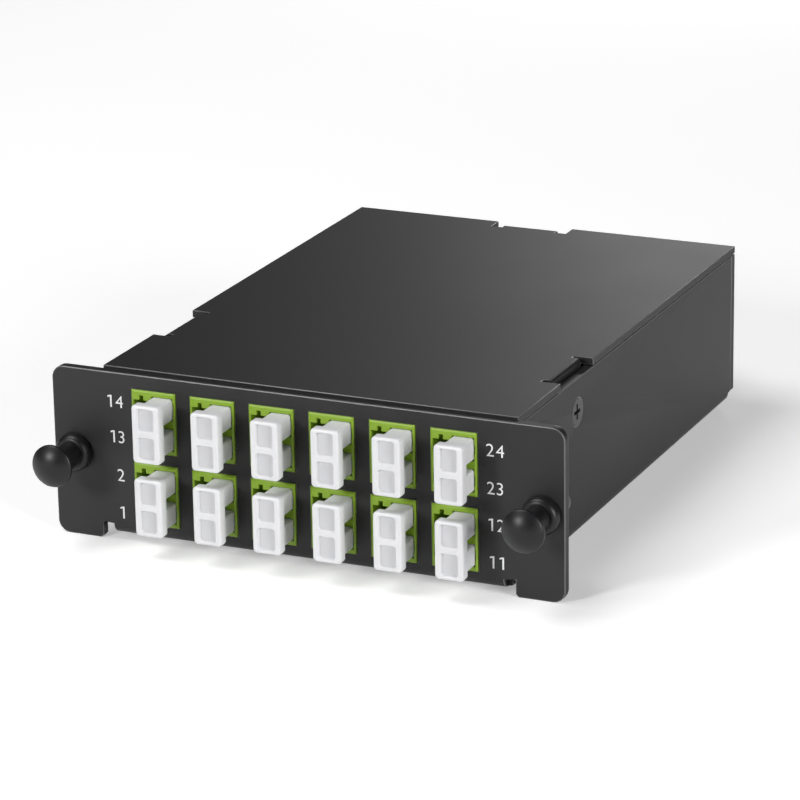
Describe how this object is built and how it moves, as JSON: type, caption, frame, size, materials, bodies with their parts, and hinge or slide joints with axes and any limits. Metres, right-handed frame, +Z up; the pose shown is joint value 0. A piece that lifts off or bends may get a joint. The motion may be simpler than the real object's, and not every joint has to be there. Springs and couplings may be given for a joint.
{
  "type": "fibre cassette",
  "caption": "Folded steel cassette with capped duplex fibre adapters in its front plate, push-pull latches in the ears and multi-fibre inlets at the rear.",
  "frame": {"origin": "midpoint between the two latch axes, on the rear face of the front plate, where it seats on the panel", "axes": "+X to the right along the front plate, +Y to the rear into the rack, +Z up"},
  "size_m": [0.1092, 0.1491, 0.0356],
  "materials": {
    "powder_coat": "fine-textured black powder coat",
    "black_screw": "black zinc, satin",
    "adapter_lime": "moulded, satin gloss",
    "cap_white": "translucent soft moulding",
    "latch_nylon": "polished black nylon",
    "inlet_plastic": "moulded, satin",
    "inlet_screw": "zinc plated",
    "inlet_cap": "soft moulding",
    "clip_steel": "bright spring steel",
    "sleeve_ceramic": "ground zirconia",
    "plug_lime": "moulded, satin gloss",
    "trunk_plug": "moulded, satin",
    "fibre_jacket": "smooth jacket",
    "guide_plastic": "moulded, satin"
  },
  "bodies": {
    "cassette": {"base_tray": "powder_coat", "top_cover": "powder_coat", "cover_screws": "black_screw", "sleeve_holders": "adapter_lime", "alignment_sleeves": "sleeve_ceramic", "adapter_clips": "clip_steel", "latch_grommet_left": "latch_nylon", "latch_grommet_right": "latch_nylon", "mpo_adapter_left": "inlet_plastic", "mpo_adapter_right": "inlet_plastic", "mpo_adapter_screws": "inlet_screw", "mpo_plug_left": "trunk_plug", "mpo_plug_right": "trunk_plug", "fibre_coil": "fibre_jacket", "fibre_guide_left": "guide_plastic", "fibre_guide_right": "guide_plastic", "fibre_leads_lower": "fibre_jacket", "fibre_leads_upper": "fibre_jacket", "trunk_lead_left": "fibre_jacket", "trunk_lead_right": "fibre_jacket", "lc_adapter_01": "adapter_lime", "lc_plug_pair_01": "plug_lime", "lc_adapter_02": "adapter_lime", "lc_plug_pair_02": "plug_lime", "lc_adapter_03": "adapter_lime", "lc_plug_pair_03": "plug_lime", "lc_adapter_04": "adapter_lime", "lc_plug_pair_04": "plug_lime", "lc_adapter_05": "adapter_lime", "lc_plug_pair_05": "plug_lime", "lc_adapter_06": "adapter_lime", "lc_plug_pair_06": "plug_lime", "lc_adapter_07": "adapter_lime", "lc_plug_pair_07": "plug_lime", "lc_adapter_08": "adapter_lime", "lc_plug_pair_08": "plug_lime", "lc_adapter_09": "adapter_lime", "lc_plug_pair_09": "plug_lime", "lc_adapter_10": "adapter_lime", "lc_plug_pair_10": "plug_lime", "lc_adapter_11": "adapter_lime", "lc_plug_pair_11": "plug_lime", "lc_adapter_12": "adapter_lime", "lc_plug_pair_12": "plug_lime"},
    "lc_dust_cap_01": {"lc_dust_cap_01": "cap_white"},
    "lc_dust_cap_02": {"lc_dust_cap_02": "cap_white"},
    "lc_dust_cap_03": {"lc_dust_cap_03": "cap_white"},
    "lc_dust_cap_04": {"lc_dust_cap_04": "cap_white"},
    "lc_dust_cap_05": {"lc_dust_cap_05": "cap_white"},
    "lc_dust_cap_06": {"lc_dust_cap_06": "cap_white"},
    "lc_dust_cap_07": {"lc_dust_cap_07": "cap_white"},
    "lc_dust_cap_08": {"lc_dust_cap_08": "cap_white"},
    "lc_dust_cap_09": {"lc_dust_cap_09": "cap_white"},
    "lc_dust_cap_10": {"lc_dust_cap_10": "cap_white"},
    "lc_dust_cap_11": {"lc_dust_cap_11": "cap_white"},
    "lc_dust_cap_12": {"lc_dust_cap_12": "cap_white"},
    "mpo_dust_cap_left": {"mpo_dust_cap_left": "inlet_cap"},
    "mpo_dust_cap_right": {"mpo_dust_cap_right": "inlet_cap"},
    "latch_plunger_left": {"latch_plunger_left": "latch_nylon"},
    "latch_plunger_right": {"latch_plunger_right": "latch_nylon"}
  },
  "joints": [
    {"name": "lc_dust_cap_01_pull", "type": "slide", "parent": "cassette", "child": "lc_dust_cap_01", "axis": [0, -1, 0], "range_m": [0, 0.012]},
    {"name": "lc_dust_cap_02_pull", "type": "slide", "parent": "cassette", "child": "lc_dust_cap_02", "axis": [0, -1, 0], "range_m": [0, 0.012]},
    {"name": "lc_dust_cap_03_pull", "type": "slide", "parent": "cassette", "child": "lc_dust_cap_03", "axis": [0, -1, 0], "range_m": [0, 0.012]},
    {"name": "lc_dust_cap_04_pull", "type": "slide", "parent": "cassette", "child": "lc_dust_cap_04", "axis": [0, -1, 0], "range_m": [0, 0.012]},
    {"name": "lc_dust_cap_05_pull", "type": "slide", "parent": "cassette", "child": "lc_dust_cap_05", "axis": [0, -1, 0], "range_m": [0, 0.012]},
    {"name": "lc_dust_cap_06_pull", "type": "slide", "parent": "cassette", "child": "lc_dust_cap_06", "axis": [0, -1, 0], "range_m": [0, 0.012]},
    {"name": "lc_dust_cap_07_pull", "type": "slide", "parent": "cassette", "child": "lc_dust_cap_07", "axis": [0, -1, 0], "range_m": [0, 0.012]},
    {"name": "lc_dust_cap_08_pull", "type": "slide", "parent": "cassette", "child": "lc_dust_cap_08", "axis": [0, -1, 0], "range_m": [0, 0.012]},
    {"name": "lc_dust_cap_09_pull", "type": "slide", "parent": "cassette", "child": "lc_dust_cap_09", "axis": [0, -1, 0], "range_m": [0, 0.012]},
    {"name": "lc_dust_cap_10_pull", "type": "slide", "parent": "cassette", "child": "lc_dust_cap_10", "axis": [0, -1, 0], "range_m": [0, 0.012]},
    {"name": "lc_dust_cap_11_pull", "type": "slide", "parent": "cassette", "child": "lc_dust_cap_11", "axis": [0, -1, 0], "range_m": [0, 0.012]},
    {"name": "lc_dust_cap_12_pull", "type": "slide", "parent": "cassette", "child": "lc_dust_cap_12", "axis": [0, -1, 0], "range_m": [0, 0.012]},
    {"name": "mpo_dust_cap_left_pull", "type": "slide", "parent": "cassette", "child": "mpo_dust_cap_left", "axis": [0, 1, 0], "range_m": [0, 0.012]},
    {"name": "mpo_dust_cap_right_pull", "type": "slide", "parent": "cassette", "child": "mpo_dust_cap_right", "axis": [0, 1, 0], "range_m": [0, 0.012]},
    {"name": "latch_left_pull", "type": "slide", "parent": "cassette", "child": "latch_plunger_left", "axis": [0, -1, 0], "range_m": [0, 0.0055]},
    {"name": "latch_right_pull", "type": "slide", "parent": "cassette", "child": "latch_plunger_right", "axis": [0, -1, 0], "range_m": [0, 0.0055]}
  ]
}
